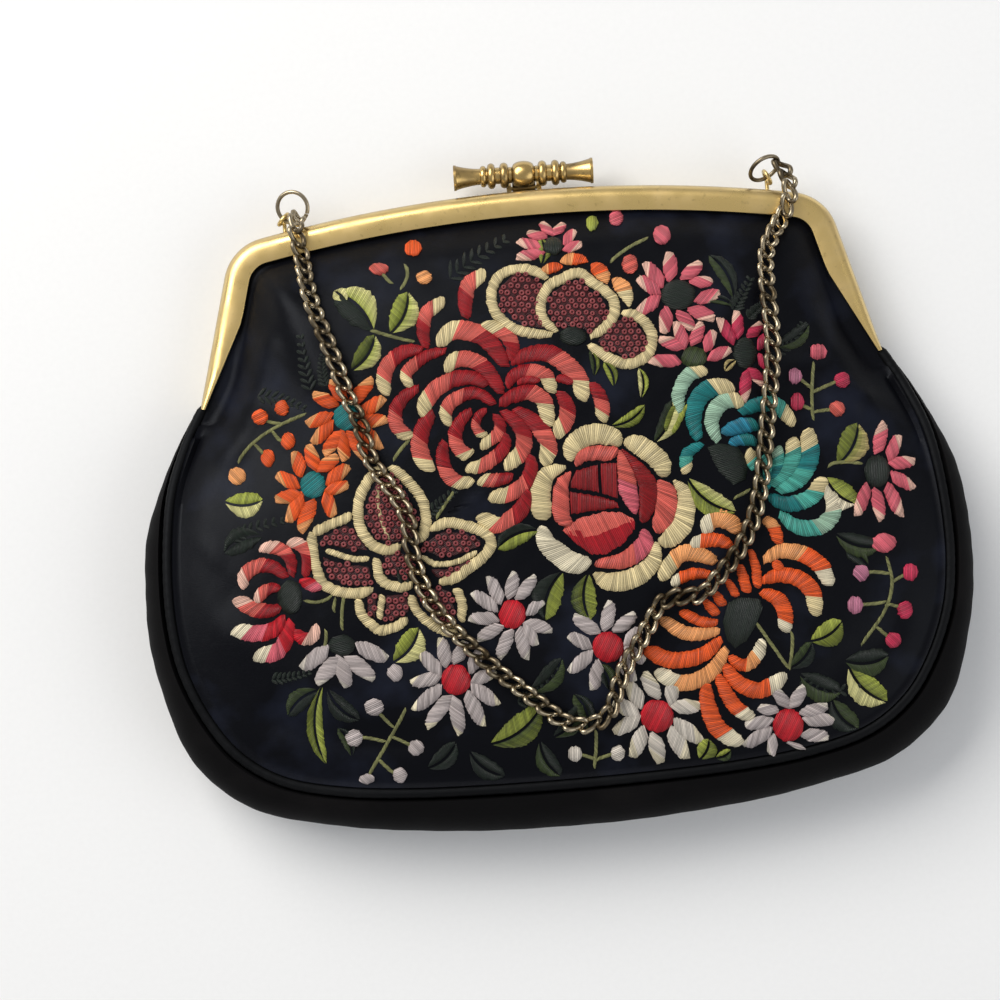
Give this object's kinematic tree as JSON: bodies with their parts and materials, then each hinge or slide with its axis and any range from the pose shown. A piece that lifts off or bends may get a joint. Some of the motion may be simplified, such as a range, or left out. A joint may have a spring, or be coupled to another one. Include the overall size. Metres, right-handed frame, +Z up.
{
  "type": "chinese embroidered purse",
  "caption": "Small black satin evening purse with a gilt frame, bar clasp and chain, embroidered with flowers, lying on its back.",
  "frame": {"origin": "middle of the rectangle that the purse covers on the surface it lies on", "axes": "+X along the mouth to the wearer's right in the picture's view, +Y from the bottom of the bag to the clasp, +Z up out of the embroidered front"},
  "size_m": [0.165, 0.1334, 0.0274],
  "materials": {
    "gilt": "worn gilt, polished",
    "satin": "black silk satin",
    "gusset_cloth": "black cloth, dull",
    "dark_brass": "darkened with age"
  },
  "bodies": {
    "purse": {"frame_front": "gilt", "frame_back": "gilt", "clasp_pin": "gilt", "hinge_left": "gilt", "hinge_right": "gilt", "front_panel": "satin", "back_panel": "satin", "gusset": "gusset_cloth", "piping_front": "satin", "piping_back": "satin", "jump_ring_left": "dark_brass", "jump_ring_right": "dark_brass", "chain": "dark_brass"},
    "clasp": {"clasp_bar": "gilt"}
  },
  "joints": [
    {"name": "clasp_tilt", "type": "hinge", "parent": "purse", "child": "clasp", "pos_m": [0, 0.06185, 0.0026], "axis": [-1, 0, 0], "range_deg": [0, 30], "stiffness_Nm_per_rad": 0.02, "springref_deg": -8.59}
  ]
}
